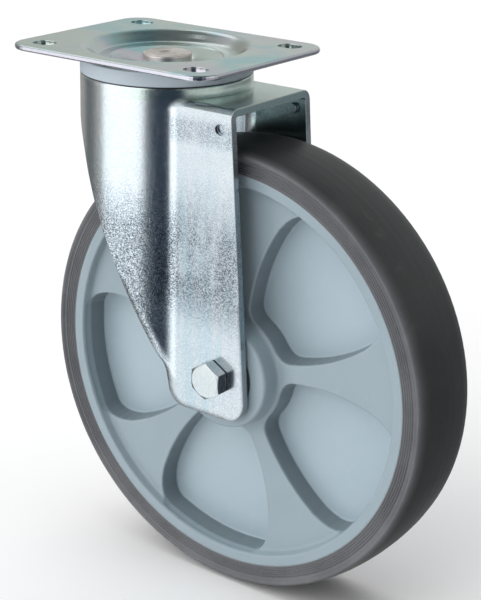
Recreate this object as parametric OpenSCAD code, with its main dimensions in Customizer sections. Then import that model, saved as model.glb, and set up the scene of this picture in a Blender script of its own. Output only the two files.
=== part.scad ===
// Swivel castor with a 250 mm wheel for carrying the free end of a gate.
// Origin: centre of the plate's upper mounting face, on the swivel axis. +Z is up,
// the wheel axle lies along Y and the wheel trails towards +X.

/* [Top plate] */
// Length of the plate along X
plate_l = 138; // [120:1:160]
// Width of the plate along Y
plate_w = 109; // [100:1:130]
// Sheet thickness of the plate
plate_t = 3; // [2.5:0.5:3]
// Corner radius of the plate
plate_r = 14; // [6:1:18]
// Spacing of the bolt slots along X
bolt_dx = 105; // [100:1:112]
// Spacing of the bolt slots along Y
bolt_dy = 80; // [76:1:84]
// Width of each bolt slot
slot_w = 11; // [8:0.5:12]
// Overall length of each bolt slot, along X
slot_l = 14; // [12:0.5:16]
// Radius of the dish at the upper face
dish_r = 42; // [41:0.5:43]
// Depth of the ledge in the dish
dish_d = 6; // [5.5:0.25:6.5]

/* [Swivel head] */
// Outer radius of the fork crown
crown_r = 47; // [46:0.5:48]
// Height of the crown's top below the mounting face
crown_drop = 12; // [12:0.5:12.5]
// Number of balls in the upper row
upper_balls_n = 42; // [12:1:42]
// Number of balls in the lower row
lower_balls_n = 32; // [12:1:32]
// Radius of the king pin's formed head
pin_head_r = 13.5; // [12:0.5:14]

/* [Fork] */
// Sheet thickness of the fork
fork_t = 4; // [3:0.5:4]
// Outer width across the two legs
fork_w = 68; // [66:1:70]
// Height of the roof's upper face below the mounting face
roof_drop = 19.5; // [19:0.5:21]
// Outer radius of the bend between the roof and a leg
bend_r = 5.5; // [4.5:0.5:8]
// Radius of the hollow fillet between the crown barrel and a leg
blend_r = 15; // [10:1:18]
// Trail, from the swivel axis to the wheel axle
trail = 61; // [58:1:64]
// Depth of the wheel axle below the mounting face
axle_drop = 167; // [165:1:170]
// Distance from the axle to the bottom edge of the legs
leg_below = 22; // [20:1:24]
// Diameter of the pressed pips on the legs
pip_d = 6; // [4:0.5:8]
// Depth of the pressed pips
pip_h = 2; // [1:0.5:2.5]

/* [Wheel] */
// Outer diameter of the tyre
wheel_d = 250; // [246:1:254]
// Overall width of the tyre
tyre_w = 47; // [46:0.5:50]
// Radius where the tyre meets the wheel core
rim_r = 111.5; // [110:0.5:112.5]
// Width of the flat flange ring of the core
flange_w = 6; // [4:0.5:7]
// Width of the core across its flanges
rim_w = 44; // [43:0.5:45]
// Depth of the spoke faces below the flange
spoke_drop = 5; // [3:0.5:7]
// Thickness of the web at the bottom of the pockets
web_t = 10; // [8:1:14]
// Number of spokes
spokes = 5; // [4:1:6]
// Angle of the first spoke
spoke_phase = 10; // [0:1:71]
// Narrowest half width of a spoke
spoke_half = 5; // [4:0.5:7]
// Radius of the hub
hub_r = 30; // [28:0.5:32]
// Length of the hub
hub_l = 56; // [54:1:57]

/* [Axle and bearings] */
// Thread diameter of the axle bolt
bolt_d = 12; // [10:1:12]
// Width across the flats of the hexagons
hex_af = 18; // [17:0.5:19]
// Height of the bolt head
head_h = 7.5; // [6:0.5:8]
// Height of the lock nut
nut_h = 12; // [10:0.5:13]
// Bore of the wheel bearings
bearing_d = 20; // [20:0.5:20]
// Outer diameter of the wheel bearings
bearing_od = 47; // [47:0.5:47]
// Width of the wheel bearings
bearing_w = 14; // [14:0.5:14]

/* [Hidden] */
$fn = 96;
eps = 0.01;
// plate
floor_z = -10.2;
plate_under = -plate_t;
floor_under = floor_z - plate_t;
cup_in = floor_under - 3;
pin_r = 8;
pin_top = -4.2;
pin_foot_r = 14;
pin_foot_h = 7;
// ball rows
ball_gap = 0.15;
up_ball_r = 3;
up_row_r = 42.6;
up_row_z = -crown_drop + 2.6;
lo_ball_r = 3;
lo_row_r = 34.5;
crown_under = -crown_drop - fork_t;
lo_row_z = crown_under - 2.6;
crown_hole_r = 31;
crown_round = 4;
lo_race_top = lo_row_z - 2.6;
// fork
half_w = fork_w / 2;
roof_z = -roof_drop;
axle_z = -axle_drop;
leg_foot = axle_z - leg_below;
blend_cy = half_w + blend_r;
blend_cx = sqrt(pow(crown_r + blend_r, 2) - pow(blend_cy, 2));
blend_a = atan2(blend_cy, blend_cx);
fade_z = axle_z - 4;
rear_top = 70.5;
rear_foot = 81.5;
pip_x = 63.5;
pip_z = -30.5;
// wheel
tyre_r = wheel_d / 2;
half_rim = rim_w / 2;
half_tyre = tyre_w / 2;
spoke_y = half_rim - spoke_drop;
web_y = web_t / 2;
flange_r = rim_r - flange_w;
side_r = 103;
side_at = 40;
half_hub = hub_l / 2;
hub_lip_r = 19.9;
// bearings
brg_in = half_hub - 1 - bearing_w;
brg_out = half_hub - 1;
brg_mid = (brg_in + brg_out) / 2;
pitch_r = 16.75;
brg_ball_r = 3.97;
brg_balls_n = 8;
inner_land = 14.4;
outer_land = 19.3;
leg_in = half_w - fork_t;
washer_t = 2.5;

zinc = [0.78, 0.81, 0.82];
steel = [0.62, 0.60, 0.57];
bright = [0.75, 0.76, 0.77];
polymer = [0.66, 0.71, 0.75];
seal = [0.68, 0.72, 0.77];
rubber = [0.20, 0.19, 0.20];
dark_rubber = [0.08, 0.08, 0.08];

// ---------- helpers ----------

// Points of an arc, n steps
function arc(cx, cy, r, a0, a1, n) =
    [for (i = [0:n]) let (a = a0 + (a1 - a0) * i / n) [cx + r * cos(a), cy + r * sin(a)]];

// Outline of a rectangle with round corners
function rounded(l, w, r, n = 10) = concat(
    arc(l / 2 - r, w / 2 - r, r, 0, 90, n),
    arc(-l / 2 + r, w / 2 - r, r, 90, 180, n),
    arc(-l / 2 + r, -w / 2 + r, r, 180, 270, n),
    arc(l / 2 - r, -w / 2 + r, r, 270, 360, n));

// Extrude a (y, z) outline along X
module along_x(x0, x1) {
    translate([x0, 0, 0])
        rotate([90, 0, 90])
            linear_extrude(x1 - x0)
                children();
}

// Extrude an (x, z) outline along Y
module along_y(y0, y1) {
    translate([0, y1, 0])
        rotate([90, 0, 0])
            linear_extrude(y1 - y0)
                children();
}

// Put a shape that is built round Z onto the wheel axle, with +Z pointing to -Y
module on_axle() {
    translate([trail, 0, axle_z])
        rotate([90, 0, 0])
            children();
}

// Cylinder on the axle between two Y stations
module axle_cyl(r, y0, y1) {
    translate([trail, y1, axle_z])
        rotate([90, 0, 0])
            cylinder(r = r, h = y1 - y0);
}

// Hexagonal prism with its points up and a chamfered outer face, built on +Z
module hexagon(af, h, chamfer_r) {
    intersection() {
        rotate([0, 0, 90])
            cylinder(r = af / sqrt(3), h = h, $fn = 6);
        union() {
            cylinder(r = af, h = h - 1.4);
            translate([0, 0, h - 1.4 - eps])
                cylinder(r1 = af / sqrt(3) + 1.3, r2 = chamfer_r, h = 1.4 + eps);
        }
    }
}

// ---------- swivel head ----------

module plate_slab() {
    hull() {
        translate([0, 0, -plate_t])
            linear_extrude(0.1)
                polygon(rounded(plate_l - 2, plate_w - 2, plate_r - 1));
        translate([0, 0, -plate_t + 0.3])
            linear_extrude(0.1)
                polygon(rounded(plate_l - 0.8, plate_w - 0.8, plate_r - 0.4));
        translate([0, 0, -plate_t + 0.9])
            linear_extrude(plate_t - 1.9)
                polygon(rounded(plate_l, plate_w, plate_r));
        translate([0, 0, -0.5])
            linear_extrude(0.1)
                polygon(rounded(plate_l - 0.6, plate_w - 0.6, plate_r - 0.3));
        translate([0, 0, -0.1])
            linear_extrude(0.1)
                polygon(rounded(plate_l - 2.2, plate_w - 2.2, plate_r - 1.1));
    }
}

// Section of the hollow of the dish, from the axis outwards
function dish_hollow() = [
    [0, 1], [dish_r + 5, 1], [dish_r + 5, 0], [dish_r + 4, -0.05], [dish_r + 3, -0.25],
    [dish_r + 2, -0.65], [dish_r + 1, -1.25], [dish_r, -2.1], [dish_r - 1, -3.1],
    [dish_r - 2, -4.1], [dish_r - 3, -dish_d + 1.05], [dish_r - 4, -dish_d + 0.4],
    [dish_r - 5, -dish_d + 0.08], [dish_r - 6, -dish_d], [31, -dish_d], [30.6, -dish_d - 0.2],
    [30.2, -dish_d - 0.5], [28, -dish_d - 0.85], [24, -dish_d - 1.4], [20, -dish_d - 2.1],
    [17.5, -dish_d - 2.8], [15.5, floor_z + 0.35], [14, floor_z + 0.06], [13, floor_z],
    [0, floor_z]];

// Section of the whole dish as a solid, one sheet thickness larger
function dish_body() = [
    [0, -0.5], [dish_r + 6, -0.5], [dish_r + 5, plate_under], [44, plate_under],
    [42.7, plate_under - 0.4], [41, plate_under - 1.25], [39.4, plate_under - 2.3],
    [38.2, plate_under - 3.5], [37.3, plate_under - 4.8], [36.4, plate_under - 5.8],
    [35.4, plate_under - dish_d], [30, plate_under - dish_d], [28.6, plate_under - dish_d - 0.7],
    [24, plate_under - dish_d - 1.5], [20, plate_under - dish_d - 2.3],
    [17, plate_under - dish_d - 3.2], [14.8, floor_under + 0.25], [13.4, floor_under],
    [0, floor_under]];

module top_plate() {
    color(zinc)
        difference() {
            union() {
                plate_slab();
                rotate_extrude()
                    polygon(dish_body());
            }
            rotate_extrude()
                polygon(dish_hollow());
            translate([0, 0, floor_under - 1])
                cylinder(r = pin_r, h = 10);
            for (sx = [-1, 1], sy = [-1, 1])
                translate([sx * bolt_dx / 2, sy * bolt_dy / 2, -plate_t - 1])
                    bolt_slot(plate_t + 2);
        }
}

// Slot with round ends, its length along X
module bolt_slot(h) {
    for (s = [-1, 1])
        translate([s * (slot_l - slot_w) / 2, 0, 0])
            cylinder(d = slot_w, h = h);
    translate([-(slot_l - slot_w) / 2, -slot_w / 2, 0])
        cube([slot_l - slot_w, slot_w, h]);
}

module king_pin() {
    color(steel)
        rotate_extrude()
            polygon(concat(
                [[0, cup_in - pin_foot_h], [pin_foot_r - 2, cup_in - pin_foot_h],
                 [pin_foot_r, cup_in - pin_foot_h + 2], [pin_foot_r, cup_in],
                 [pin_r, cup_in], [pin_r, floor_z], [pin_head_r - 0.4, floor_z],
                 [pin_head_r, floor_z + 0.5]],
                arc(pin_head_r - 1, pin_top - 1, 1, 0, 80, 4),
                [[pin_head_r - 1.9, pin_top], [pin_head_r - 2.3, pin_top - 0.2],
                 [pin_head_r - 2.8, pin_top - 0.2], [pin_head_r - 3.2, pin_top],
                 [4.4, pin_top], [3.6, pin_top - 0.5], [1.2, pin_top - 0.9], [0, pin_top - 0.9]]));
}

module upper_race() {
    color(bright)
        difference() {
            rotate_extrude()
                polygon([[45.4, plate_under], [45.4, -6.6], [44.9, -7.1], [41.5, -7.1], [41, -6.6],
                         [41, plate_under - 1.25], [42.7, plate_under - 0.4], [44, plate_under]]);
            rotate_extrude()
                translate([up_row_r, up_row_z])
                    circle(r = up_ball_r + ball_gap);
        }
}

module upper_balls() {
    color(bright)
        for (i = [0:upper_balls_n - 1])
            rotate([0, 0, (i + 0.5) * 360 / upper_balls_n])
                translate([up_row_r, 0, up_row_z])
                    sphere(r = up_ball_r, $fn = 32);
}

module dust_seal() {
    color(seal)
        rotate_extrude()
            polygon([[45.9, -5.5], [46.5, -5.5], [crown_r, -6], [crown_r, -13.6], [46.8, -13.9],
                     [46.55, -13.9], [46.5, -12.8], [45.9, -12.3]]);
}

module lower_balls() {
    color(bright)
        for (i = [0:lower_balls_n - 1])
            rotate([0, 0, i * 360 / lower_balls_n])
                translate([lo_row_r, 0, lo_row_z])
                    sphere(r = lo_ball_r, $fn = 32);
}

module lower_race() {
    color(bright)
        difference() {
            rotate_extrude()
                polygon([[pin_r, floor_under], [24, floor_under], [25.6, floor_under - 0.6],
                         [26.4, floor_under - 2], [28, lo_race_top + 1.4], [29.8, lo_race_top],
                         [38.6, lo_race_top], [39.2, lo_race_top - 0.6],
                         [39.2, lo_race_top - 2.6], [38.6, lo_race_top - 3.2],
                         [28.4, lo_race_top - 3.2], [26, lo_race_top - 1.4],
                         [23.4, cup_in - 0.8], [22.4, cup_in], [pin_r, cup_in]]);
            rotate_extrude()
                translate([lo_row_r, lo_row_z])
                    circle(r = lo_ball_r + ball_gap);
        }
}

// ---------- fork ----------

// Side outline (x, z) that trims the drawn and bent sheet
function fork_side() = concat(
    [[-60, 5], [-60, -31], [-47, -32.5], [-41, -33.8], [-36, -36.5], [-32, -40.5],
     [-28, -46.5], [-24, -54.5], [-19, -66.5], [-12, -82], [-4, -98.5], [4.5, -115],
     [11.5, -129.5], [17, -141], [24, -156.3], [28, -165.5]],
    arc(41, leg_foot + 11, 11, 190, 270, 8),
    arc(rear_foot - 12, leg_foot + 12, 12, 270, 358, 10),
    [[rear_top, roof_z], [rear_top, 5]]);

// Hollow fillets between the crown barrel and the legs; the bend of the roof runs on
// round them and dies out in the barrel
module blend(off) {
    r = blend_r + off;
    b = bend_r - off;
    low = leg_foot - 10;
    for (s = [-1, 1])
        difference() {
            translate([0, 0, low])
                linear_extrude(roof_z - off - low)
                    polygon([[0, 0], [(crown_r - off) * cos(blend_a), s * (crown_r - off) * sin(blend_a)],
                             [blend_cx, s * blend_cy], [blend_cx, 0]]);
            translate([blend_cx, s * blend_cy, 0])
                rotate_extrude()
                    polygon(concat([[0, low - 1], [r, low - 1]],
                        [for (i = [0:6]) [r + b - b * cos(15 * i), roof_z - bend_r + b * sin(15 * i)]],
                        [[r + b, roof_z + 5], [0, roof_z + 5]]));
        }
}

// Front outline (y, z) of the bent legs and roof
function leg_front(off) = concat(
    [[half_w - off, leg_foot - 20]],
    arc(half_w - bend_r, roof_z - bend_r, bend_r - off, 0, 90, 6),
    arc(-half_w + bend_r, roof_z - bend_r, bend_r - off, 90, 180, 6),
    [[-half_w + off, leg_foot - 20]]);

// Rise of the barrel out of a leg, as (outwards, upwards) from where it starts
fade = [[0, -6], [0.5, 0], [1.6, 4], [3.2, 7.5], [5.2, 11], [7.4, 14.5], [9.4, 18.2], [11.2, 22.5],
        [12.4, 27], [13.2, 33]];

// Front outline (y, z) where the barrel fades into the flat of the legs
function fade_front(off) = concat(
    [for (p = fade) [half_w - 1.07 * off + p[0], fade_z + p[1]]],
    [[70, fade_z + 40], [70, 10], [-70, 10], [-70, fade_z + 40]],
    [for (i = [len(fade) - 1:-1:0]) [-half_w + 1.07 * off - fade[i][0], fade_z + fade[i][1]]]);

// Solid bounded by the sheet's outer face (off = 0) or inner face (off = fork_t)
module fork_form(off) {
    along_x(0, 100)
        polygon(leg_front(off));
    intersection() {
        union() {
            rotate_extrude()
                polygon(concat([[0, leg_foot - 10], [crown_r - off, leg_foot - 10]],
                    arc(crown_r - crown_round, -crown_drop - crown_round,
                        crown_round - off, 0, 90, 5),
                    [[0, -crown_drop - off]]));
            blend(off);
        }
        along_x(-70, 70)
            polygon(fade_front(off));
    }
}

module fork() {
    color(zinc)
        difference() {
            union() {
                difference() {
                    intersection() {
                        fork_form(0);
                        along_y(-60, 60)
                            polygon(fork_side());
                    }
                    fork_form(fork_t);
                    translate([0, 0, -40])
                        cylinder(r = crown_hole_r, h = 60);
                    rotate_extrude()
                        translate([up_row_r, up_row_z])
                            circle(r = up_ball_r + ball_gap);
                    rotate_extrude()
                        translate([lo_row_r, lo_row_z])
                            circle(r = lo_ball_r + ball_gap);
                }
                for (s = [-1, 1])
                    translate([pip_x, s * (leg_in - pip_h / 2 + 0.5), pip_z])
                        rotate([90, 0, 0])
                            cylinder(d = pip_d - 0.4, h = pip_h + 1, center = true);
            }
            for (s = [-1, 1])
                translate([pip_x, s * (half_w - pip_h / 2 + 0.5), pip_z])
                    rotate([90, 0, 0])
                        cylinder(d = pip_d, h = pip_h + 1, center = true);
            axle_cyl(bolt_d / 2 + 0.1, -60, 60);
        }
}

// ---------- axle ----------

module axle_bolt() {
    color(zinc) {
        on_axle()
            translate([0, 0, half_w]) {
                cylinder(r = hex_af * 0.47, h = 1);
                translate([0, 0, 0.6])
                    hexagon(hex_af, head_h - 0.6, hex_af * 0.475);
            }
        axle_cyl(bolt_d / 2, -half_w - eps, half_w + washer_t + nut_h + 2);
        translate([trail, half_w + washer_t + nut_h + 2 - eps, axle_z])
            rotate([-90, 0, 0])
                cylinder(r1 = bolt_d / 2, r2 = bolt_d / 2 - 1, h = 1);
    }
}

module axle_washer() {
    color(zinc)
        difference() {
            axle_cyl(12, half_w, half_w + washer_t);
            axle_cyl(bolt_d / 2 + 0.2, half_w - 1, half_w + washer_t + 1);
        }
}

module axle_nut() {
    color(zinc)
        difference() {
            translate([trail, half_w + washer_t, axle_z])
                rotate([-90, 0, 0]) {
                    hexagon(hex_af, nut_h - 3.5, hex_af * 0.475);
                    cylinder(r = hex_af * 0.44, h = nut_h - 1);
                    translate([0, 0, nut_h - 1 - eps])
                        cylinder(r1 = hex_af * 0.44, r2 = hex_af * 0.40, h = 1);
                }
            axle_cyl(bolt_d / 2, half_w, half_w + 30);
        }
}

module axle_tube() {
    color(bright)
        difference() {
            axle_cyl(bearing_d / 2, -leg_in, leg_in);
            axle_cyl(bolt_d / 2 + 0.2, -leg_in - 1, leg_in + 1);
        }
}

// Ring that fills the gap between a bearing's inner ring and the leg
module spacer(s) {
    color(bright)
        mirror([0, s < 0 ? 1 : 0, 0])
            difference() {
                axle_cyl(13, brg_out, leg_in);
                axle_cyl(bearing_d / 2, brg_out - 1, leg_in + 1);
            }
}

module near_spacer() {
    spacer(-1);
}

module far_spacer() {
    spacer(1);
}

// ---------- wheel bearings ----------

// Ring of rectangular section round the axle, for the side s
module ring_at(r0, r1, y0, y1) {
    difference() {
        axle_cyl(r1, y0, y1);
        axle_cyl(r0, y0 - 1, y1 + 1);
    }
}

module ball_track() {
    translate([trail, brg_mid, axle_z])
        rotate([90, 0, 0])
            rotate_extrude()
                translate([pitch_r, 0])
                    circle(r = brg_ball_r + ball_gap);
}

module side(s) {
    mirror([0, s < 0 ? 1 : 0, 0])
        children();
}

module bearing_inner_ring(s) {
    color(bright)
        side(s)
            difference() {
                ring_at(bearing_d / 2, inner_land, brg_in, brg_out);
                ball_track();
            }
}

module bearing_outer_ring(s) {
    color(bright)
        side(s)
            difference() {
                ring_at(outer_land, bearing_od / 2, brg_in, brg_out);
                ball_track();
            }
}

module bearing_balls(s) {
    color(bright)
        side(s)
            for (i = [0:brg_balls_n - 1])
                translate([trail, brg_mid, axle_z])
                    rotate([0, i * 360 / brg_balls_n, 0])
                        translate([pitch_r, 0, 0])
                            sphere(r = brg_ball_r, $fn = 32);
}

module bearing_cage(s) {
    color([0.75, 0.62, 0.30])
        side(s)
            difference() {
                ring_at(15.2, 18.3, brg_mid - 4.7, brg_mid + 4.7);
                for (i = [0:brg_balls_n - 1])
                    translate([trail, brg_mid, axle_z])
                        rotate([0, i * 360 / brg_balls_n, 0])
                            translate([13, 0, 0])
                                rotate([0, 90, 0])
                                    cylinder(r = brg_ball_r + 0.12, h = 8);
            }
}

module bearing_seals(s) {
    color(dark_rubber)
        side(s) {
            ring_at(inner_land + 0.15, outer_land, brg_out - 1.4, brg_out - 0.4);
            ring_at(inner_land + 0.15, outer_land, brg_in + 0.4, brg_in + 1.4);
        }
}

module near_bearing_inner_ring() {
    bearing_inner_ring(-1);
}

module near_bearing_outer_ring() {
    bearing_outer_ring(-1);
}

module near_bearing_balls() {
    bearing_balls(-1);
}

module near_bearing_cage() {
    bearing_cage(-1);
}

module near_bearing_seals() {
    bearing_seals(-1);
}

module far_bearing_inner_ring() {
    bearing_inner_ring(1);
}

module far_bearing_outer_ring() {
    bearing_outer_ring(1);
}

module far_bearing_balls() {
    bearing_balls(1);
}

module far_bearing_cage() {
    bearing_cage(1);
}

module far_bearing_seals() {
    bearing_seals(1);
}

// ---------- wheel ----------

// Half width of a spoke at radius r, measured square to the spoke's centre line
function spoke_side(r) = spoke_half + side_r - sqrt(side_r * side_r - pow(r - side_at, 2));

// Point on a spoke's flank, turned to the pocket's own frame (pocket centred on +X)
function flank(r, step, grow) =
    let (w = spoke_side(r) - grow, a = -step / 2)
    [r * cos(a) - w * sin(a), r * sin(a) + w * cos(a)];

// Points of a corner that bends from p to q round the control point c
function corner(p, c, q, n) =
    [for (i = [1:n - 1]) let (t = i / n) (1 - t) * (1 - t) * p + 2 * t * (1 - t) * c + t * t * q];

// Points mirrored in the X axis and taken in the opposite order
function mirrored(v) = [for (i = [len(v) - 1:-1:0]) [v[i][0], -v[i][1]]];

// Outline of a pocket, with its centre on +X
function pocket(grow) =
    let (
        step = 360 / spokes,
        r0 = hub_r + 2.5 - grow,
        r1 = flange_r - 0.3 + grow,
        low = [for (i = [0:7]) flank(r0 + 6 + i * (r1 - 17 - r0 - 6) / 7, step, grow)],
        outer = [for (i = [-3:0]) [r1 * cos(4.9 * i), r1 * sin(4.9 * i)]],
        inner = [for (i = [0:-1:-2]) [r0 * cos(7 * i), r0 * sin(7 * i)]],
        half = concat(inner,
            corner(inner[2], flank(r0 + 0.4, step, grow), low[0], 4), low,
            corner(low[7], flank(r1 - 1.2, step, grow), outer[0], 6), outer)
    )
    concat(half, mirrored([for (i = [1:len(half) - 2]) half[i]]));

// Turned section (r, y) of one half of the core without its pockets
function core_section() = [
    [bearing_od / 2 - 3.5, -eps], [bearing_od / 2 - 3.5, brg_in], [bearing_od / 2, brg_in],
    [bearing_od / 2, brg_out], [hub_lip_r, brg_out], [hub_lip_r, half_hub - 0.4],
    [hub_lip_r + 0.4, half_hub], [hub_r - 1.6, half_hub],
    [hub_r - 0.5, half_hub - 0.5], [hub_r, half_hub - 1.6], [hub_r + 0.6, spoke_y + 1.6],
    [hub_r + 1.1, spoke_y + 0.5], [hub_r + 2.2, spoke_y], [flange_r - 2.6, spoke_y],
    [flange_r - 1.3, spoke_y + 0.5], [flange_r - 0.8, spoke_y + 1.6], [flange_r, half_rim - 0.6],
    [flange_r + 0.5, half_rim], [rim_r, half_rim], [rim_r, -eps]];

module core_half() {
    translate([trail, 0, axle_z])
        rotate([-90, 0, 0])
            difference() {
                rotate_extrude()
                    polygon(core_section());
                for (i = [0:spokes - 1])
                    rotate([0, 0, -spoke_phase - 180 / spokes - i * 360 / spokes])
                        pocket_tool();
            }
}

// Drafted pocket, from the web up through the spoke face
module pocket_tool() {
    mid = [70, 0, 0];
    depth = spoke_y - web_y;
    translate([mid[0], 0, web_y])
        linear_extrude(depth + 3, scale = 1.05)
            translate([-mid[0], 0])
                polygon(pocket(-1.4));
}

module wheel_core() {
    color(polymer) {
        core_half();
        mirror([0, 1, 0])
            core_half();
    }
}

// Turned section (r, y) of the tyre: ribbed walls, soft shoulders and a crowned tread
function tyre_side() = concat(
    [[rim_r, half_rim]],
    [for (i = [0:4], p = [0:3])
        [rim_r + 0.5 + i * 1.3 + [0, 0.3, 0.7, 1.0][p],
         half_rim + 0.2 + [0, -0.45, -0.45, 0][p]]],
    [[rim_r + 7.6, half_rim + 0.4], [rim_r + 8.6, half_tyre - 0.35],
     [rim_r + 9.4, half_tyre], [rim_r + 10.2, half_tyre - 0.15], [rim_r + 11, half_tyre - 1],
     [rim_r + 11.5, half_tyre - 2.6], [rim_r + 11.9, half_tyre - 4.6],
     [tyre_r - 1.05, half_tyre - 7.5], [tyre_r - 0.6, half_tyre - 11.5],
     [tyre_r - 0.22, half_tyre - 16.5], [tyre_r, 0]]);

module tyre() {
    color(rubber)
        translate([trail, 0, axle_z])
            rotate([-90, 0, 0])
                rotate_extrude()
                    polygon(concat(tyre_side(),
                        [for (i = [len(tyre_side()) - 2:-1:0])
                            [tyre_side()[i][0], -tyre_side()[i][1]]]));
}

// ---------- output ----------

top_plate();
king_pin();
upper_race();
upper_balls();
dust_seal();
lower_balls();
lower_race();
fork();
axle_bolt();
axle_washer();
axle_nut();
axle_tube();
near_spacer();
far_spacer();
near_bearing_inner_ring();
near_bearing_outer_ring();
near_bearing_balls();
near_bearing_cage();
near_bearing_seals();
far_bearing_inner_ring();
far_bearing_outer_ring();
far_bearing_balls();
far_bearing_cage();
far_bearing_seals();
wheel_core();
tyre();
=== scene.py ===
import math

import bpy
from mathutils import Matrix, Vector


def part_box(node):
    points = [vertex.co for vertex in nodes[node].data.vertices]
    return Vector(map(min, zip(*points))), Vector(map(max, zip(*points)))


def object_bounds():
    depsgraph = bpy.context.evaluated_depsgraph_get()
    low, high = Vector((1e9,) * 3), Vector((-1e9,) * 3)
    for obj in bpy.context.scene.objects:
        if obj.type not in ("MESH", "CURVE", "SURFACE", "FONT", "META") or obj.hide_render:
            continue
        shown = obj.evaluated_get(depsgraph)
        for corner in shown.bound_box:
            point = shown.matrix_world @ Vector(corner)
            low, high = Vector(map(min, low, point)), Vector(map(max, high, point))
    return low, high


# Swivel castor with a 250 mm wheel: the looks of the CAD pieces, a pale floor, soft studio
# light and a camera at the photograph's viewing angle. No CAD piece is replaced.

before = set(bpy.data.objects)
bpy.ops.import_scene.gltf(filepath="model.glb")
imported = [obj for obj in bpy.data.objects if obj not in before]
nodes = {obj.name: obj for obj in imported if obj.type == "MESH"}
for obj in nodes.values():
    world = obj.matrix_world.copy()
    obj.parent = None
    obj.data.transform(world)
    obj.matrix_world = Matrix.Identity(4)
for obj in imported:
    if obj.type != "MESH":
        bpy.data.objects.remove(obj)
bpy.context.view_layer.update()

MM = 0.001


# ---------- places taken from the CAD ----------

core_lo, core_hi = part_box("wheel_core")
tyre_lo, tyre_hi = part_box("tyre")
fork_lo, fork_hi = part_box("fork")
axle = (core_lo + core_hi) / 2
tyre_radius = (tyre_hi.z - tyre_lo.z) / 2
crown_radius = (fork_hi.y - fork_lo.y) / 2

# sizes inside a node, which no box gives
LEG_FACE = 34 * MM  # outer face of the flat legs, from the middle plane
LEG_BACK = 30 * MM  # inner face of the same
ROOF_SKIN = 8 * MM  # everything this close to the fork's highest point is crown or roof
PLATE_CORNER = 14 * MM  # corner radius of the top plate
WEB_FACE = 5.4 * MM  # web of the wheel core, from the middle plane
SPOKE_FACE = 15 * MM  # start of the rounded edge of spokes, hub and rim
THREAD_RADIUS = 6.2 * MM
THREAD_PITCH = 1.75 * MM


# ---------- node helpers ----------


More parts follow.
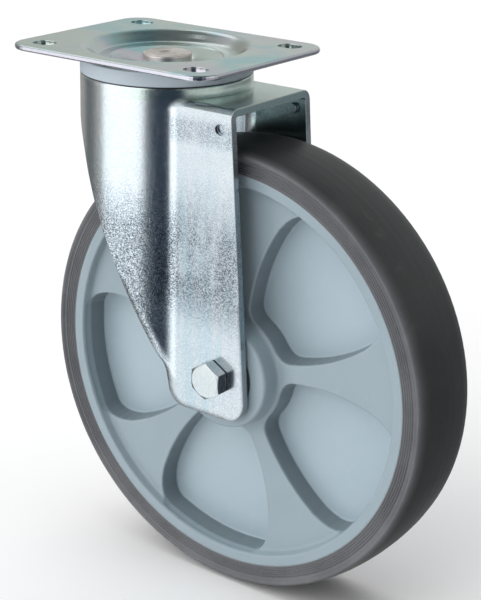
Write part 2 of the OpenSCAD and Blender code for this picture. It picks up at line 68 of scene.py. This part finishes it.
class Tree:
    """Builds shader nodes with short calls."""

    def __init__(self, tree):
        self.t = tree
        self.coord = None

    def node(self, kind, **values):
        n = self.t.nodes.new(kind)
        for k, v in values.items():
            setattr(n, k, v)
        return n

    def put(self, socket, value):
        """Link a socket, or set it to a constant."""
        if isinstance(value, bpy.types.NodeSocket):
            self.t.links.new(value, socket)
        elif isinstance(value, (tuple, list, Vector)):
            v = list(value)
            if len(socket.default_value) == 4 and len(v) == 3:
                v.append(1.0)
            socket.default_value = v
        else:
            socket.default_value = value

    # places

    def where(self):
        if self.coord is None:
            self.coord = self.node("ShaderNodeTexCoord").outputs["Object"]
        return self.coord

    def stretch(self, scale, rot=(0, 0, 0)):
        n = self.node("ShaderNodeMapping")
        self.put(n.inputs["Vector"], self.where())
        n.inputs["Scale"].default_value = scale
        n.inputs["Rotation"].default_value = rot
        return n.outputs[0]

    def split(self, vec):
        n = self.node("ShaderNodeSeparateXYZ")
        self.put(n.inputs[0], vec)
        return n.outputs[0], n.outputs[1], n.outputs[2]

    def join(self, x, y, z):
        n = self.node("ShaderNodeCombineXYZ")
        self.put(n.inputs[0], x)
        self.put(n.inputs[1], y)
        self.put(n.inputs[2], z)
        return n.outputs[0]

    def axle_polar(self):
        """(radius from the axle line, x, y, z), for shapes turned round the axle."""
        x, y, z = self.split(self.vmath("SUBTRACT", self.where(), axle))
        return self.math("SQRT", self.add(self.mul(x, x), self.mul(z, z))), x, y, z

    # patterns

    def noise(self, scale, detail, rough, vec=None, distort=0.0):
        n = self.node("ShaderNodeTexNoise")
        self.put(n.inputs["Vector"], vec or self.where())
        n.inputs["Scale"].default_value = scale
        n.inputs["Detail"].default_value = detail
        n.inputs["Roughness"].default_value = rough
        n.inputs["Distortion"].default_value = distort
        return n.outputs["Fac"]

    def cells(self, scale):
        """A random value for each cell of a Voronoi pattern."""
        n = self.node("ShaderNodeTexVoronoi")
        self.put(n.inputs["Vector"], self.where())
        n.inputs["Scale"].default_value = scale
        return self.split(n.outputs["Color"])[0]

    # sums

    def math(self, op, a, b=0.0, clamp=False):
        n = self.node("ShaderNodeMath", operation=op, use_clamp=clamp)
        self.put(n.inputs[0], a)
        self.put(n.inputs[1], b)
        return n.outputs[0]

    def add(self, a, b):
        return self.math("ADD", a, b)

    def sub(self, a, b):
        return self.math("SUBTRACT", a, b)

    def mul(self, a, *factors):
        for f in factors:
            a = self.math("MULTIPLY", a, f)
        return a

    def rest_of(self, mask):
        return self.sub(1.0, mask)

    def size(self, a):
        return self.math("ABSOLUTE", a)

    def larger(self, a, b):
        return self.math("MAXIMUM", a, b)

    def vmath(self, op, a, b=(0, 0, 0)):
        n = self.node("ShaderNodeVectorMath", operation=op)
        self.put(n.inputs[0], a)
        self.put(n.inputs[1], b)
        return n.outputs["Value"] if op in ("DOT_PRODUCT", "LENGTH") else n.outputs[0]

    def span(self, value, lo, hi, to_lo=0.0, to_hi=1.0, smooth=False):
        """Map lo..hi to to_lo..to_hi, clamped."""
        kind = "SMOOTHSTEP" if smooth else "LINEAR"
        n = self.node("ShaderNodeMapRange", interpolation_type=kind)
        self.put(n.inputs["Value"], value)
        n.inputs["From Min"].default_value = lo
        n.inputs["From Max"].default_value = hi
        n.inputs["To Min"].default_value = to_lo
        n.inputs["To Max"].default_value = to_hi
        return n.outputs["Result"]

    def ease(self, value, lo, hi, to_lo=0.0, to_hi=1.0):
        return self.span(value, lo, hi, to_lo, to_hi, smooth=True)

    # colours

    def mix(self, fac, a, b, how="MIX"):
        n = self.node("ShaderNodeMix", data_type="RGBA", blend_type=how)
        n.clamp_factor = True
        self.put(n.inputs[0], fac)
        self.put(n.inputs[6], a)
        self.put(n.inputs[7], b)
        return n.outputs[2]

    def times(self, col, red, green=None, blue=None):
        """A colour multiplied by a grey, or by three factors."""
        factors = (red, red, red) if green is None else (red, green, blue)
        return self.mix(1.0, col, self.join(*factors), "MULTIPLY")

    # surface detail

    def bump(self, height, strength, distance, normal):
        n = self.node("ShaderNodeBump")
        self.put(n.inputs["Height"], height)
        n.inputs["Strength"].default_value = strength
        n.inputs["Distance"].default_value = distance
        self.put(n.inputs["Normal"], normal)
        return n.outputs[0]

    def round_edges(self, radius):
        n = self.node("ShaderNodeBevel", samples=6)
        n.inputs["Radius"].default_value = radius
        return n.outputs[0]

    def edge_mask(self, radius):
        """1 on convex and hollow edges within radius, 0 on open faces."""
        face = self.node("ShaderNodeNewGeometry").outputs["Normal"]
        agree = self.vmath("DOT_PRODUCT", self.round_edges(radius), face)
        return self.span(self.rest_of(agree), 0.02, 0.25)


def material(name):
    """(material, its tree, its Principled shader)"""
    m = bpy.data.materials.new(name)
    m.use_nodes = True
    t = m.node_tree
    t.nodes.clear()
    out = t.nodes.new("ShaderNodeOutputMaterial")
    p = t.nodes.new("ShaderNodeBsdfPrincipled")
    t.links.new(p.outputs[0], out.inputs[0])
    return m, Tree(t), p


# ---------- zinc-plated sheet ----------


def zinc(
    name, base, tint_a, tint_b, rough, grain, tint_amount,
    edge=0.6 * MM, rubbed_and_highlight=0.35, border=None, pressed=False, threaded=False,
):
    """Zinc-plated, passivated metal: crystal grain, soft colour clouds, fine handling
    scratches and brighter edges, partly wear from rubbing and partly painted highlight.
    border(n) is a mask of where the sheet's cut side shows, pressed adds the fork's zones, and
    threaded the thread on the axle bolt, with painted shade in its grooves."""
    m, n, p = material(name)
    clouds = n.noise(26, 3, 0.55, distort=0.6)
    wide_clouds = n.noise(15, 2, 0.5, vec=n.stretch((1, 1.4, 0.8), (0.4, 0.2, 0.9)))
    col = n.mix(n.ease(clouds, 0.42, 0.66, 0, tint_amount), base, tint_a)
    col = n.mix(n.ease(wide_clouds, 0.46, 0.68, 0, tint_amount * 0.9), col, tint_b)
    if border:
        col = n.mix(border(n), col, (0.56, 0.56, 0.62))

    speck = n.add(n.mul(n.noise(1900, 3, 0.7), 0.5), n.mul(n.cells(2600), 0.5))
    light = n.span(speck, 0.28, 0.68, 1.0 - 0.14 * grain, 1.0 + 0.04 * grain)
    relief = speck
    if pressed:
        col = fork_zones(n, col)
        light, relief = fork_grain(n, speck, light, grain)
    cool = n.span(light, 0.2, 1.0, 1.22, 1.0)  # dark grains are bluer
    cool_green = n.span(cool, 1.0, 1.22, 1.0, 1.09)
    col = n.times(col, light, n.mul(light, cool_green), n.mul(light, cool))
    # paler edges: partly wear from rubbing, partly a painted highlight on convex and hollow
    # edges
    rub_and_highlight = n.edge_mask(edge * 1.6)
    col = n.mix(n.mul(rub_and_highlight, rubbed_and_highlight), col, (0.86, 0.88, 0.89))

    # scratches: thin stretched noise in two directions
    across = n.noise(1.0, 2, 0.6, vec=n.stretch((2600, 60, 90), (0.2, 0.5, 0.5)))
    along = n.noise(1.0, 2, 0.6, vec=n.stretch((70, 2300, 60), (0.1, 0.9, -0.3)))
    scratch = n.larger(n.span(across, 0.66, 0.76), n.span(along, 0.68, 0.78))
    haze = n.add(n.mul(clouds, 0.5), n.mul(n.noise(2900, 1, 0.5), 0.5))
    r = n.span(haze, 0.3, 0.7, rough * 0.8, rough * 1.25)
    r = n.sub(n.add(r, n.mul(scratch, 0.08)), n.mul(rub_and_highlight, 0.04))
    n.put(p.inputs["Roughness"], r)

    normal = n.round_edges(edge)
    if pressed:
        normal = soft_creases(n, normal)
    b = n.bump(n.noise(60, 2, 0.5), 0.10, 0.6 * MM, normal)
    b = n.bump(relief, min(1.0, grain), 0.1 * MM, b)
    b = n.bump(scratch, 0.15, 0.03 * MM, b)
    if threaded:
        col, b = thread(n, col, b)
    n.put(p.inputs["Base Color"], col)
    p.inputs["Metallic"].default_value = 1.0
    n.put(p.inputs["Normal"], b)
    return m


def below_crown(n, z, start, end, to_start=0.0, to_end=1.0):
    """A fade over two depths below the fork's highest point, in millimetres."""
    return n.ease(z, fork_hi.z - start * MM, fork_hi.z - end * MM, to_start, to_end)


def above_axle(n, z, start, end, to_start=0.0, to_end=1.0):
    """A fade over two heights above the axle, in millimetres."""
    return n.ease(z, axle.z + start * MM, axle.z + end * MM, to_start, to_end)


def fork_zones(n, col):
    """The fork's colours: greenish crown and roof, teal insides, blue-streaked legs darker
    than the rest and darker again part way up.
    """
    x, y, z = n.split(n.where())
    off = n.size(y)
    top = n.span(z, fork_hi.z - ROOF_SKIN - 0.5 * MM, fork_hi.z - ROOF_SKIN)
    col = n.mix(n.mul(top, n.ease(x, 4 * MM, 16 * MM, 0, 0.75)), col, (0.60, 0.70, 0.63))
    inside = n.span(off, LEG_BACK, LEG_BACK + 0.4 * MM, 0.85, 0)
    col = n.mix(n.mul(inside, n.rest_of(top)), col, (0.58, 0.80, 0.79))

    flat = n.ease(off, LEG_FACE + 0.05 * MM, LEG_FACE + 0.5 * MM, 1, 0)
    flat = n.mul(flat, n.rest_of(top))
    streaks = n.noise(1.0, 3, 0.6, vec=n.stretch((150, 110, 16)))
    blue = n.mul(flat, n.ease(streaks, 0.45, 0.62, 0, 0.75), below_crown(n, z, 40, 75, 0.25))
    col = n.mix(blue, col, (0.54, 0.66, 0.71))
    middle = n.mul(below_crown(n, z, 45, 75, 0, 0.07), above_axle(n, z, 18, 35))
    return n.times(col, n.sub(n.span(flat, 0, 1, 1.08, 0.81), n.mul(flat, middle)))


def fork_grain(n, speck, light, grain):
    """(brightness, relief) of the fork's grain, coarser and darker where it is aged."""
    barrel = n.ease(n.size(n.split(n.where())[1]), LEG_FACE + 0.3 * MM, LEG_FACE + 2 * MM)
    age = fork_age(n)
    rise = n.math("ADD", n.add(0.08, n.mul(barrel, 0.22)), n.mul(age, 0.34), clamp=True)
    strong = n.span(speck, 0.34, 0.70, 1.0 - 1.05 * grain, 1.0 - 0.10 * grain)
    light = n.add(n.mul(light, n.rest_of(age)), n.mul(strong, age))
    return light, n.mul(speck, rise)


def fork_age(n):
    """Mask of the coarse grain on the middle of the fork, in upright streaks and clouds."""
    x, y, z = n.split(n.where())
    flat = n.ease(n.size(y), LEG_FACE + 0.5 * MM, LEG_FACE + 3.5 * MM, 1, 0)
    clean_foot = n.mul(above_axle(n, z, 50, 22, 0, 0.85), flat)
    from_bend = n.size(n.sub(z, fork_hi.z - 22 * MM))
    under_bend = n.mul(n.ease(from_bend, 3 * MM, 10 * MM, 0.6, 0), flat)
    low = n.mul(below_crown(n, z, 40, 85, 0.05), n.rest_of(clean_foot))
    low = n.larger(low, under_bend)

    streaks = n.noise(1.0, 3, 0.55, vec=n.stretch((95, 60, 9)))
    blend = n.add(n.mul(streaks, 0.55), n.mul(n.noise(38, 3, 0.6), 0.45))
    low = n.mul(low, n.ease(blend, 0.38, 0.54, 0.45))
    front = n.mul(n.ease(x, 34 * MM, 18 * MM), below_crown(n, z, 50, 80))
    return n.larger(low, front)


def soft_creases(n, normal):
    """Round the creases that the real sheet does not have: where the crown meets the roof
    and where the barrel runs out above the axle."""
    x, y, z = n.split(n.where())
    radius = n.math("SQRT", n.add(n.mul(x, x), n.mul(y, y)))
    root = n.mul(
        n.ease(n.size(n.sub(radius, crown_radius)), 3.5 * MM, 5.5 * MM, 1, 0),
        below_crown(n, z, 12.5, 10.5),
        below_crown(n, z, 3.5, 5.0),
        n.ease(x, 8 * MM, 16 * MM),
    )
    outside = n.ease(n.size(y), LEG_FACE - 0.2 * MM, LEG_FACE + 0.2 * MM)
    mask = n.larger(root, n.mul(above_axle(n, z, 56, 40), outside))
    keep = n.rest_of(mask)
    wide = n.vmath("MULTIPLY", n.round_edges(6 * MM), n.join(mask, mask, mask))
    sharp = n.vmath("MULTIPLY", normal, n.join(keep, keep, keep))
    return n.vmath("NORMALIZE", n.vmath("ADD", wide, sharp))


def thread(n, col, normal):
    """(colour, normal) with a screw thread on the bolt's far end, and painted shade darkening
    its grooves.
    """
    radius, x, y, z = n.axle_polar()
    shank = n.mul(
        n.span(radius, THREAD_RADIUS - 0.1 * MM, THREAD_RADIUS + 0.3 * MM, 1, 0),
        n.span(y, 20 * MM, 21 * MM),
    )
    turn = n.add(n.mul(y, 2 * math.pi / THREAD_PITCH), n.math("ARCTAN2", x, z))
    wave = n.math("SINE", turn)
    # painted shade: the thread's grooves are darkened
    groove_shade = n.mul(shank, n.span(wave, -1.0, 0.2, 0.55, 0.0))
    col = n.mix(groove_shade, col, (0.16, 0.17, 0.17))
    return col, n.bump(n.mul(wave, shank), 1.0, 0.45 * MM, normal)


def plate_side(n):
    """The cut side of the top plate, by distance from its rounded outline."""
    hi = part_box("top_plate")[1]
    x, y, _ = n.split(n.vmath("ABSOLUTE", n.where()))
    out_x = n.larger(n.sub(x, hi.x - PLATE_CORNER), 0.0)
    out_y = n.larger(n.sub(y, hi.y - PLATE_CORNER), 0.0)
    far = n.vmath("LENGTH", n.join(out_x, out_y, 0.0))
    return n.span(far, PLATE_CORNER - 0.8 * MM, PLATE_CORNER - 0.3 * MM)


# ---------- turned steel, plastic, rubber ----------


def steel(name, base, dark, rough):
    """Turned or ground steel with soft dark patches and a fine grain."""
    m, n, p = material(name)
    patch = n.noise(80, 3, 0.6)
    fine = n.noise(2000, 2, 0.6)
    col = n.mix(n.ease(patch, 0.35, 0.65), base, dark)
    n.put(p.inputs["Base Color"], n.times(col, n.span(fine, 0.3, 0.7, 0.86, 1.08)))
    p.inputs["Metallic"].default_value = 1.0
    n.put(p.inputs["Roughness"], n.span(patch, 0.3, 0.7, rough * 0.85, rough * 1.2))
    b = n.bump(n.noise(400, 3, 0.6), 0.25, 0.1 * MM, n.round_edges(0.4 * MM))
    n.put(p.inputs["Normal"], n.bump(fine, 0.25, 0.03 * MM, b))
    return m


def plastic(name, base, dark, light, rough, grain, edge, painted_shade_top=None, painted_pocket_shade=False):
    """Moulded satin plastic: faint flow clouds, fine moulded grain, and paler edges, partly
    wear from rubbing and partly painted highlight.
    Below the height painted_shade_top it is painted near-black as shade under the lip, and web
    paints shade into the wheel core's pocket walls and spoke faces."""
    m, n, p = material(name)
    flow = n.noise(11, 3, 0.5, vec=n.stretch((1, 0.4, 1)), distort=0.8)
    dust = n.noise(140, 4, 0.65)
    fine = n.noise(grain, 2, 0.5)
    col = n.mix(n.ease(flow, 0.35, 0.68), base, dark)
    col = n.mix(n.ease(dust, 0.55, 0.8, 0, 0.22), col, light)
    col = n.times(col, n.span(fine, 0.3, 0.7, 0.975, 1.02))
    if painted_pocket_shade:
        # painted shade: the pockets' walls are painted darker than the web, as shade, and the
        # spokes' faces paler than the walls but still darker than the web
        off = n.size(n.split(n.where())[1])
        wall = n.ease(off, WEB_FACE, WEB_FACE + 1 * MM, 1.0, 0.46)
        face = n.ease(off, SPOKE_FACE, SPOKE_FACE + 1.6 * MM, 0.0, 0.30)
        col = n.times(col, n.add(wall, face))
    # paler edges: partly wear from rubbing, partly a painted highlight along convex and hollow
    # edges
    col = n.mix(n.mul(n.edge_mask(edge * 1.5), 0.30), col, light)
    # painted shade: near-black below this height, a shade line along the bottom of the seal's
    # lip
    if painted_shade_top is not None:
        low = n.span(n.split(n.where())[2], painted_shade_top, painted_shade_top + 0.4 * MM, 1, 0)
        col = n.mix(low, col, (0.02, 0.02, 0.025))
    n.put(p.inputs["Base Color"], col)
    n.put(p.inputs["Roughness"], n.span(dust, 0.3, 0.75, rough * 0.88, rough * 1.18))
    p.inputs["Specular IOR Level"].default_value = 0.4
    b = n.bump(n.noise(90, 2, 0.5), 0.12, 0.4 * MM, n.round_edges(edge))
    n.put(p.inputs["Normal"], n.bump(fine, 0.22, 0.04 * MM, b))
    return m


def rubber(name):
    """Dark grey-brown rubber: a matt tread, greyer side walls and a little dust."""
    m, n, p = material(name)
    radius, _, y, _ = n.axle_polar()
    bloom = n.noise(30, 4, 0.6)
    fine = n.noise(1800, 2, 0.55)
    bloomed = n.ease(bloom, 0.35, 0.7)
    tread = n.mix(bloomed, (0.019, 0.0185, 0.020), (0.027, 0.026, 0.028))
    side = n.mix(bloomed, (0.105, 0.108, 0.118), (0.145, 0.148, 0.158))
    inner = n.ease(radius, tyre_radius - 11.5 * MM, tyre_radius - 13.5 * MM)
    side = n.mix(inner, side, (0.15, 0.155, 0.165))
    wall = n.ease(radius, tyre_radius - 1.0 * MM, tyre_radius - 3.5 * MM)
    col = n.mix(wall, tread, side)
    # the fine parting line left by the mould beside the middle of the tread
    seam = n.span(n.size(n.sub(y, 4 * MM)), 0.12 * MM, 0.4 * MM, 1, 0)
    seam = n.mul(seam, n.rest_of(wall))
    col = n.mix(n.mul(seam, 0.60), col, (0.008, 0.008, 0.009))
    col = n.times(col, n.span(fine, 0.25, 0.75, 0.86, 1.12))
    dust = n.ease(n.noise(75, 5, 0.7), 0.58, 0.8, 0, 0.12)
    col = n.mix(dust, col, (0.20, 0.18, 0.17))
    n.put(p.inputs["Base Color"], col)
    n.put(p.inputs["Roughness"], n.span(bloom, 0.3, 0.7, 0.40, 0.50))
    p.inputs["Specular IOR Level"].default_value = 0.45
    b = n.bump(n.noise(520, 3, 0.6), 0.14, 0.2 * MM, n.round_edges(0.6 * MM))
    n.put(p.inputs["Normal"], n.bump(fine, 0.30, 0.06 * MM, b))
    return m


# ---------- each node's material ----------

plate = zinc(
    "zinc_plate_look", (0.575, 0.655, 0.605), (0.34, 0.60, 0.63), (0.66, 0.57, 0.66),
    rough=0.17, grain=0.3, tint_amount=0.9, rubbed_and_highlight=0.85, border=plate_side,
)
pressed_sheet = zinc(
    "zinc_fork_look", (0.66, 0.71, 0.735), (0.58, 0.68, 0.72), (0.69, 0.70, 0.74),
    rough=0.19, grain=0.85, tint_amount=0.5, rubbed_and_highlight=0.6, pressed=True,
)
fastener = zinc(
    "zinc_fastener_look", (0.56, 0.60, 0.61), (0.50, 0.57, 0.59), (0.60, 0.60, 0.60),
    rough=0.20, grain=0.5, tint_amount=0.4, edge=0.4 * MM, threaded=True,
)
pin = steel("king_pin_look", (0.74, 0.69, 0.66), (0.56, 0.51, 0.48), 0.40)
race = steel("race_look", (0.56, 0.56, 0.56), (0.50, 0.50, 0.50), 0.24)
ball = steel("ball_look", (0.70, 0.70, 0.71), (0.66, 0.66, 0.67), 0.10)
cage = steel("cage_look", (0.62, 0.46, 0.20), (0.52, 0.38, 0.16), 0.30)
dust_seal = plastic(
    "dust_seal_look", (0.50, 0.57, 0.63), (0.46, 0.53, 0.59), (0.60, 0.66, 0.70),
    rough=0.42, grain=2600, edge=0.4 * MM, painted_shade_top=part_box("dust_seal")[0].z + 0.5 * MM,
)
bearing_seal = plastic(
    "bearing_seal_look", (0.13, 0.16, 0.18), (0.11, 0.135, 0.15), (0.20, 0.23, 0.25),
    rough=0.55, grain=2600, edge=0.2 * MM,
)
core = plastic(
    "wheel_core_look", (0.385, 0.480, 0.535), (0.362, 0.455, 0.512), (0.52, 0.59, 0.63),
    rough=0.34, grain=2200, edge=1.6 * MM, painted_pocket_shade=True,
)
tyre = rubber("tyre_look")

LOOK = {
    "top_plate": plate,
    "king_pin": pin,
    "fork": pressed_sheet,
    "axle_bolt": fastener,
    "axle_washer": fastener,
    "axle_nut": fastener,
    "dust_seal": dust_seal,
    "wheel_core": core,
    "tyre": tyre,
}
LOOK_BY_ENDING = {"balls": ball, "cage": cage, "seals": bearing_seal}
for name, ob in nodes.items():
    look = LOOK.get(name) or LOOK_BY_ENDING.get(name.split("_")[-1], race)
    ob.data.materials.clear()
    ob.data.materials.append(look)


# ---------- floor ----------

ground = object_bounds()[0][2]
bpy.ops.mesh.primitive_plane_add(size=24, location=(axle.x, 0, ground))
floor = bpy.context.object
floor.name = "floor"
floor_look, fn, floor_shader = material("floor_look")
floor_tone = fn.span(fn.noise(3, 2, 0.5), 0.3, 0.7, 0.985, 1.0)
fn.put(floor_shader.inputs["Base Color"], fn.times((0.92, 0.92, 0.92), floor_tone))
floor_shader.inputs["Roughness"].default_value = 0.9
floor_shader.inputs["Specular IOR Level"].default_value = 0.1
floor.data.materials.append(floor_look)
floor.visible_glossy = False


# ---------- studio light ----------

world = bpy.data.worlds.new("studio")
bpy.context.scene.world = world
world.use_nodes = True
world.node_tree.nodes.clear()
w = Tree(world.node_tree)
dx, dy, dz = w.split(w.node("ShaderNodeTexCoord").outputs["Generated"])
azimuth = w.math("ARCTAN2", dy, dx)
height = w.math("ARCSINE", w.math("MAXIMUM", w.math("MINIMUM", dz, 0.9999), -0.9999))


def by_height(below, above, low, high):
    """One colour below, another above, with a soft change from low to high, in degrees."""
    return w.mix(w.ease(height, math.radians(low), math.radians(high)), below, above)


def panel(room, colour, az, half, soft, low, high, soft_h=8):
    """The room with a soft-edged panel of light, or of dark, hung in it. It is half degrees
    to each side of az and from low to high; soft and soft_h are the widths of its edges."""
    off = w.math("SUBTRACT", azimuth, math.radians(az))
    wrap = w.node("ShaderNodeMath", operation="WRAP")
    w.put(wrap.inputs[0], off)
    wrap.inputs[1].default_value = math.pi
    wrap.inputs[2].default_value = -math.pi
    off = w.size(wrap.outputs[0])
    mask = w.mul(
        w.ease(off, math.radians(half + soft), math.radians(half - soft)),
        w.mul(
            w.ease(height, math.radians(low - soft_h), math.radians(low + soft_h)),
            w.ease(height, math.radians(high + soft_h), math.radians(high - soft_h)),
        ),
    )
    return w.mix(mask, room, colour)


# what polished metal sees: a mid-grey room with a dark ceiling and a dark camera side, a
# big white panel on the left, a small one on the right and one behind
seen = by_height((0.52, 0.53, 0.52), (0.62, 0.65, 0.64), -30, 25)
seen = w.mix(
    w.ease(height, math.radians(28), math.radians(72)), seen, (0.09, 0.10, 0.11)
)
seen = panel(seen, (0.42, 0.40, 0.38), 180, 42, 12, -60, 30)
seen = panel(seen, (0.15, 0.16, 0.165), -174, 13, 7, -60, 8)
seen = panel(seen, (0.24, 0.25, 0.26), 62, 34, 10, -60, 6)
seen = panel(seen, (0.030, 0.045, 0.070), -52, 26, 5, -80, 76, 7)
seen = panel(seen, (1.30, 1.33, 1.36), 152, 16, 6, 33, 56, 5)
seen = panel(seen, (1.20, 1.23, 1.26), 10, 18, 6, 20, 54, 6)
seen = panel(seen, (1.55, 1.58, 1.60), -112, 31, 4, -70, 62)
# what lights the matt surfaces: a bright ceiling and a bright left side
dome = by_height((0.34, 0.34, 0.34), (1.85, 1.85, 1.85), 25, 55)
dome = panel(dome, (0.11, 0.11, 0.12), 5, 72, 14, -90, 62)
dome = panel(dome, (2.30, 2.30, 2.30), -112, 36, 8, -70, 62)
rays = w.node("ShaderNodeLightPath")
sky = w.mix(rays.outputs["Is Glossy Ray"], dome, seen)
sky = w.mix(rays.outputs["Is Camera Ray"], sky, (1.0, 1.0, 1.0))
background = w.node("ShaderNodeBackground")
w.put(background.inputs["Color"], sky)
world_out = w.node("ShaderNodeOutputWorld")
w.put(world_out.inputs[0], background.outputs[0])

bpy.context.scene.view_settings.view_transform = "Standard"
bpy.context.scene.view_settings.look = "None"


# ---------- camera ----------

LOOK_AT = Vector((30 * MM, 0, -120 * MM))
DISTANCE = 922.6 * MM
az, el, roll = math.radians(38.59), math.radians(18.76), math.radians(0.56)
back = Vector((math.sin(az) * math.cos(el), -math.cos(az) * math.cos(el), math.sin(el)))
level = Vector((math.cos(az), math.sin(az), 0))
upright = back.cross(level)
right = math.cos(roll) * level + math.sin(roll) * upright
up = math.cos(roll) * upright - math.sin(roll) * level
data = bpy.data.cameras.new("camera")
camera = bpy.data.objects.new("camera", data)
bpy.context.scene.collection.objects.link(camera)
turned = Matrix((right, up, back)).transposed().to_4x4()
camera.matrix_world = Matrix.Translation(LOOK_AT + back * DISTANCE) @ turned
data.sensor_width = 36
data.lens = 100.5
data.shift_x = 0.0534
data.shift_y = -0.0551
data.clip_end = 60
bpy.context.scene.camera = camera
